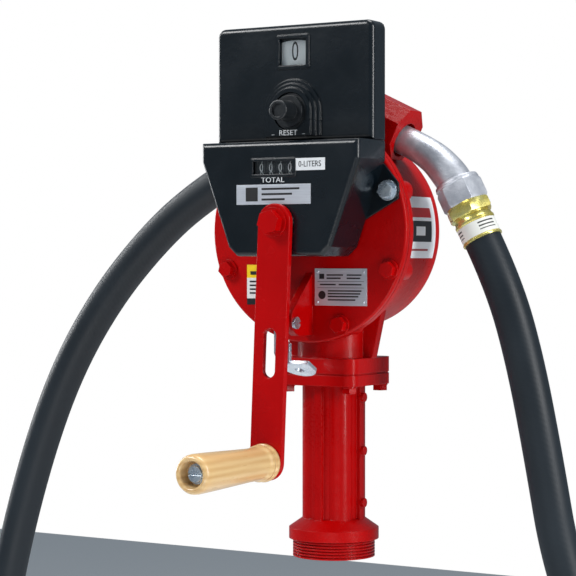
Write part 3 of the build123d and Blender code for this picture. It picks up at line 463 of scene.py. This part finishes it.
# ---- Works inside ----------------------------------------------------------------------
# Rotor and shaft in plain steel and iron, bushes and gears in bronze, dark vanes and seals.
steel = Finish("turned_steel", Metallic=1.0)
turned = steel.noise(1.0, 2, 0.5, at=steel.place(scale=(40, 900, 40)))
steel.set(Base_Color=steel.blend(turned, rgb(120, 122, 126), rgb(166, 168, 172)),
          Roughness=steel.range(turned, 0.3, 0.7, 0.28, 0.42))
steel.relief(turned, 0.00004, edge=0.0004)
steel.wear("crank_shaft", "rotor_key", "total_frame", "rotor")

bronze = Finish("turned_bronze", Metallic=1.0)
turned = bronze.noise(1.0, 2, 0.5, at=bronze.place(scale=(40, 900, 40)))
bronze.set(Base_Color=bronze.blend(turned, rgb(170, 120, 60), rgb(206, 156, 90)),
           Roughness=bronze.range(turned, 0.3, 0.7, 0.28, 0.42))
bronze.relief(turned, 0.00004, edge=0.0004)
bronze.wear("rear_bush", "front_bush", "seal_gland", "drive_gear", "idler_gear")

sealing = Finish("black_sealing", Roughness=0.6)
fibre = sealing.noise(400, 3)
sealing.set(Base_Color=sealing.blend(fibre, rgb(26, 26, 26), rgb(48, 46, 44)))
sealing.relief(fibre, 0.00005, edge=0.0002)
sealing.wear("cover_gasket", "shaft_seal", "rotor_vanes")

# ---- Windows ---------------------------------------------------------------------------
# Clear pressed-in panes over the dial and over the number wheels, glued at their edges.
pane = Finish("clear_pane", Roughness=0.05, IOR=1.45, Transmission_Weight=1.0)
ripple = pane.noise(60, 2)
pane.set(Base_Color=pane.blend(ripple, (0.9, 0.95, 0.95, 1), (1, 1, 1, 1)))
pane.wear("dial_window", "total_window")

# ---- Grip ------------------------------------------------------------------------------
# Turned maple, varnished, with the grain along it, free on its shouldered screw.
maple = Finish("varnished_maple", Coat_Weight=0.5, Coat_Roughness=0.12)
rings = maple.node("TexWave", {"wave_type": "RINGS", "rings_direction": "Y"},
                   {"Vector": maple.place(scale=(70, 8, 70)), "Scale": 1.0, "Distortion": 3.0,
                    "Detail": 2.0})
fleck = maple.noise(3.0, 4, 0.6, at=maple.place(scale=(90, 6, 90)))
maple.set(Base_Color=maple.blend(rings * 0.35 + fleck * 0.65, rgb(236, 204, 148),
                                 rgb(200, 152, 90)),
          Roughness=maple.range(fleck, 0.3, 0.7, 0.25, 0.4))
maple.relief(fleck, 0.00008, edge=0)


def rounded(*steps):
    """Turn profile pairs from millimetres to metres."""
    return [(far / 1000, out / 1000) for far, out in steps]


grip_start = (-0.007, -0.085, 0.075)
grip_profile = rounded(
    (0, 4.25), (0, 12.6), (0.6, 13.3), (2.2, 13.6), (3.4, 13.3), (4.0, 12.4), (4.6, 12.3),
    (5.4, 12.9), (8.2, 13.0), (9.4, 12.6), (10.4, 11.9), (12.5, 11.6), (24, 11.7),
    (40, 12.2), (60, 12.9), (76, 13.4), (86, 13.6), (89.5, 13.3), (91.2, 12.4),
    (92, 11.0), (92, 10.2), (91.4, 9.3), (90.4, 8.9), (83, 8.8), (83, 4.25))
build = bmesh.new()
lathe(build, grip_profile, grip_start, (0, -1, 0))
put(shaped("turned_grip", build, maple, 40), "grip", "wood", "crank_grip")

# ---- Dial numbers ----------------------------------------------------------------------
# Tall black figures printed round the white dial, nought at the window.
white = Finish("white_film", Roughness=0.4)
dust = white.noise(80, 3)
white.set(Base_Color=white.blend(dust, rgb(214, 217, 220), rgb(240, 242, 243)))
white.relief(dust, 0.00002, edge=0.0002)
white.wear("dial_wheel")

ink = Finish("black_print", Roughness=0.5)
ink.set(Base_Color=ink.blend(ink.noise(90, 2), rgb(14, 14, 16), rgb(28, 28, 30)))
ink.relief(ink.noise(900, 2), 0.00001, edge=0)


def lettering(build, text, height, depth, place, squeeze):
    """Add solid lettering of a height and depth: X is right, Y is up, Z is out."""
    capital_share = 0.69
    curve = bpy.data.curves.new("print_line", "FONT")
    curve.body = text
    curve.align_x = "CENTER"
    curve.align_y = "CENTER"
    curve.size = height / capital_share
    curve.extrude = depth / 2
    curve.resolution_u = 3
    holder = bpy.data.objects.new("print_line", curve)
    solid = holder.to_mesh()
    solid.transform(place @ Matrix.Diagonal((squeeze, 1, 1, 1)))
    build.from_mesh(solid)
    holder.to_mesh_clear()
    bpy.data.objects.remove(holder)
    bpy.data.curves.remove(curve)


def front(x, y, z):
    """A place on a face that looks along -Y, for lettering and plates."""
    return Matrix.Translation((x, y, z)) @ Matrix.Rotation(pi / 2, 4, "X")


dial_centre = (0, -0.0547, 0.322)
dial_figures = 10
dial_figure_height = 0.0135
dial_figure_reach = 0.0425
dial_figure_squeeze = 0.62
build = bmesh.new()
for number in range(dial_figures):
    turn = Matrix.Rotation(number * 2 * pi / dial_figures, 4, "Z")
    lettering(build, str(number), dial_figure_height, 0.0001, front(*dial_centre) @ turn
              @ Matrix.Translation((0, dial_figure_reach, 0)), dial_figure_squeeze)
put(shaped("dial_numbers", build, ink), "dial", "dial")

# ---- Number wheels ---------------------------------------------------------------------
# White figures on four black wheels, wrapped round the rims, all at nought.
wheels_x = -0.0036
wheels_y = -0.0665
wheels_z = 0.2817
wheel_pitch = 0.0078
wheel_radius = 0.009
wheel_figures = 10
wheel_figure_height = 0.0060
wheel_figure_squeeze = 0.72
wrap_step = 0.0006
for number in range(1, 5):
    moulded.wear(f"total_wheel_{number}")
    centre_x = wheels_x + (number - 2.5) * wheel_pitch
    build = bmesh.new()
    for figure in range(wheel_figures):
        flat = bmesh.new()
        lettering(flat, str(figure), wheel_figure_height, 0.00024, Matrix.Identity(4),
                  wheel_figure_squeeze)
        for cut in range(-5, 6):
            bmesh.ops.bisect_plane(flat, geom=flat.verts[:] + flat.edges[:] + flat.faces[:],
                                   dist=1e-7, plane_co=(0, cut * wrap_step, 0),
                                   plane_no=(0, 1, 0))
        for vert in flat.verts:
            around = vert.co.y / wheel_radius + figure * 2 * pi / wheel_figures
            reach = wheel_radius + vert.co.z + 0.00005
            vert.co = (centre_x + vert.co.x, wheels_y - reach * cos(around),
                       wheels_z + reach * sin(around))
        done = bpy.data.meshes.new("figure")
        flat.to_mesh(done)
        flat.free()
        build.from_mesh(done)
        bpy.data.meshes.remove(done)
    put(shaped(f"wheel_figures_{number}", build, white), f"wheel_{number}", "number_wheel")

# ---- Prints and plates on the counter --------------------------------------------------
# White screen-printed words, a small white unit plate and a blank silver plate with
# plain bars, all stuck flat on the lower case; the words for the knob on the upper one.
silver = Finish("silver_plate", Metallic=0.55)
brushed = silver.noise(1.0, 3, 0.6, at=silver.place(scale=(60, 60, 2400)))
silver.set(Base_Color=silver.blend(brushed, rgb(186, 190, 200), rgb(222, 226, 232)),
           Roughness=silver.range(brushed, 0.3, 0.7, 0.3, 0.45))
silver.relief(brushed, 0.00003, edge=0.0002)


def block(build, low, high):
    """Add a plain box between two corners."""
    size = Vector(high) - Vector(low)
    middle = (Vector(high) + Vector(low)) / 2
    bmesh.ops.create_cube(build, size=1.0,
                          matrix=Matrix.Translation(middle) @ Matrix.Diagonal((*size, 1)))


word_height = 0.0036
word_depth = 0.0002
build = bmesh.new()
lettering(build, "TOTAL", word_height, word_depth, front(-0.0040, -0.0791, 0.2730), 1.15)
lettering(build, "RESET", word_height, word_depth, front(-0.0010, -0.0632, 0.3068), 1.1)
# Two short white dashes, one each side of RESET, flat on the upper case.
for side in (-1, 1):
    block(build, (side * 0.0125 - 0.0020, -0.0633, 0.3056),
          (side * 0.0125, -0.0631, 0.3060))
put(shaped("case_words_and_dashes", build, white), "pump_body", "label")

case_front = -0.0790
sticker_front = -0.0793
build = bmesh.new()
block(build, (0.0142, sticker_front, 0.2793), (0.0385, case_front, 0.2878))
put(shaped("unit_plate", build, white), "pump_body", "label")
build = bmesh.new()
lettering(build, "0-LITERS", 0.0040, 0.00016, front(0.0264, -0.07934, 0.28355), 0.85)
put(shaped("unit_print", build, ink), "pump_body", "label")

build = bmesh.new()
block(build, (-0.0340, sticker_front, 0.2560), (0.0270, case_front, 0.2700))
put(shaped("counter_plate", build, silver), "pump_body", "plate")
bar_front = sticker_front - 0.00012
bar_drop = 0.0037
build = bmesh.new()
block(build, (-0.0262, bar_front, 0.2583), (-0.0162, sticker_front, 0.2680))
for row, end in enumerate((0.0180, 0.0120, 0.0060)):
    block(build, (-0.0130, bar_front, 0.2662 - row * bar_drop),
          (end, sticker_front, 0.2676 - row * bar_drop))
put(shaped("counter_plate_bars", build, ink), "pump_body", "plate")

# ---- Plates on the pump ----------------------------------------------------------------
# A riveted silver data plate and a yellow-topped notice on the cover, and a wrapped
# label on the drum; all carry plain bars and blocks in place of words.
silver.wear("nameplate")
plate_front = -0.0391
bar_depth = 0.00008
build = bmesh.new()
for x in (0.0092, 0.0468):
    for z in (0.1870, 0.2084):
        bmesh.ops.create_uvsphere(build, u_segments=12, v_segments=8, radius=0.0009,
                                  matrix=Matrix.Translation((x, plate_front, z)))
put(shaped("plate_rivets", build, silver), "pump_body", "plate")
build = bmesh.new()
bar_rows = ((0.2063, 0.0165, 0.0300), (0.2063, 0.0330, 0.0450), (0.2040, 0.0165, 0.0280),
            (0.2040, 0.0330, 0.0440), (0.1995, 0.0110, 0.0240), (0.1995, 0.0265, 0.0450),
            (0.1950, 0.0175, 0.0450), (0.1930, 0.0175, 0.0440), (0.1910, 0.0175, 0.0425),
            (0.1886, 0.0175, 0.0400))
for z, start, end in bar_rows:
    block(build, (start, plate_front - bar_depth, z - 0.0005),
          (end, plate_front, z + 0.0005))
for z in (0.2017, 0.1972):
    block(build, (0.0090, plate_front - bar_depth, z - 0.00015),
          (0.0470, plate_front, z + 0.00015))
block(build, (0.0105, plate_front - bar_depth, 0.2035), (0.0145, plate_front, 0.2072))
bmesh.ops.create_cone(build, cap_ends=True, segments=24, radius1=0.0030, radius2=0.0030,
                      depth=bar_depth,
                      matrix=front(0.0127, plate_front - bar_depth / 2, 0.1920))
put(shaped("plate_bars", build, ink), "pump_body", "plate")

notice = Finish("notice_film", Roughness=0.4)
notice_z = notice.node("SeparateXYZ", None, {0: notice.node("TexCoord", output="Object")}, 2)
notice.set(Base_Color=notice.blend(notice_z > 0.2040,
                                   notice.blend(notice_z > 0.1890, rgb(20, 20, 22),
                                                rgb(228, 228, 226)), rgb(244, 206, 20)))
notice.relief(notice.noise(80, 3), 0.00002, edge=0.0002)
notice.wear("cover_label")
notice_front = -0.0388
notice_bar_front = -0.03892
build = bmesh.new()
for z in (0.2013, 0.1985, 0.1957, 0.1929):
    block(build, (-0.0486, notice_bar_front, z - 0.0006),
          (-0.0322, notice_front, z + 0.0006))
block(build, (-0.0480, notice_bar_front, 0.2062), (-0.0330, notice_front, 0.2088))
put(shaped("notice_bars", build, ink), "pump_body", "label")

wrapper = Finish("wrapped_label", Roughness=0.35)
wrap_parts = wrapper.node("TexCoord", output="Object")
wrap_y = wrapper.node("SeparateXYZ", None, {0: wrap_parts}, 1)
wrap_z = wrapper.node("SeparateXYZ", None, {0: wrap_parts}, 2)
dark = (wrap_z > 0.2300) * (1 - (wrap_z > 0.2450)) * (1 - (wrap_y > 0.0180))
bar = (wrap_z > 0.2345) * (1 - (wrap_z > 0.2410)) * (1 - (wrap_y > 0.0080)) * (
    wrap_y > -0.0060)
red_top = (wrap_z > 0.2475) * (1 - (wrap_z > 0.2545)) * (1 - (wrap_y > 0.0180))
thin = (wrap_z > 0.2235) * (1 - (wrap_z > 0.2250)) * (1 - (wrap_y > 0.0140))
wrapper.set(Base_Color=wrapper.blend(
    thin, wrapper.blend(bar, wrapper.blend(red_top, wrapper.blend(
        dark, rgb(232, 234, 238), rgb(22, 22, 26)), rgb(188, 18, 20)), rgb(232, 234, 238)),
    rgb(150, 60, 60)))
wrapper.relief(wrapper.noise(80, 3), 0.00002, edge=0)
wrapper.wear("side_label")

# ---- Floor and light -------------------------------------------------------------------
# A pale floor under the hanging loop, a white backdrop that lights the metal only
# dimly, and soft lamps.
floor_half = 4.2
floor_gap = 0.05
floor_mesh = bpy.data.meshes.new("floor")
floor_build = bmesh.new()
bmesh.ops.create_grid(floor_build, x_segments=1, y_segments=1, size=floor_half)
bmesh.ops.translate(floor_build, verts=floor_build.verts,
                    vec=(0, 0, cad_box[0][2] - floor_gap))
floor_build.to_mesh(floor_mesh)
floor_build.free()
floor = bpy.data.objects.new("floor", floor_mesh)
bpy.context.scene.collection.objects.link(floor)
plain = Finish("plain_floor", Roughness=0.8)
plain.set(Base_Color=(0.86, 0.86, 0.86, 1))
floor_mesh.materials.append(plain.material)

world = bpy.data.worlds.new("surround")
bpy.context.scene.world = world
world.use_nodes = True
surround = world.node_tree.nodes["Background"]
seen = world.node_tree.nodes.new("ShaderNodeLightPath")
tint = world.node_tree.nodes.new("ShaderNodeMix")
tint.data_type = "RGBA"
tint.inputs[6].default_value = (0.20, 0.235, 0.27, 1)
tint.inputs[7].default_value = (1.0, 1.0, 1.0, 1)
world.node_tree.links.new(seen.outputs["Is Camera Ray"], tint.inputs[0])
world.node_tree.links.new(tint.outputs[2], surround.inputs["Color"])


def lamp(name, place, target, size, power):
    """Add a rectangular studio lamp that faces a point, its power in watts."""
    data = bpy.data.lights.new(name, "AREA")
    data.shape = "RECTANGLE"
    data.size, data.size_y = size
    data.energy = power
    made = bpy.data.objects.new(name, data)
    made.location = place
    made.rotation_euler = (Vector(target) - Vector(place)).to_track_quat("-Z", "Y").to_euler()
    bpy.context.scene.collection.objects.link(made)


lamp("key", (-1.1, -1.3, 1.5), (0, 0, 0.2), (0.8, 0.8), 30)
lamp("side", (1.7, -0.2, 0.6), (0, 0, 0.2), (0.35, 1.4), 24)
lamp("top", (0.1, 0.2, 1.9), (0, 0, 0.25), (1.0, 0.8), 20)
lamp("low", (0.6, -1.5, -0.7), (0, 0, 0.1), (1.0, 0.5), 9)
lamp("left", (-1.6, 0.2, 0.7), (0, 0, 0.2), (0.3, 1.4), 14)
bpy.context.scene.view_settings.view_transform = "Standard"
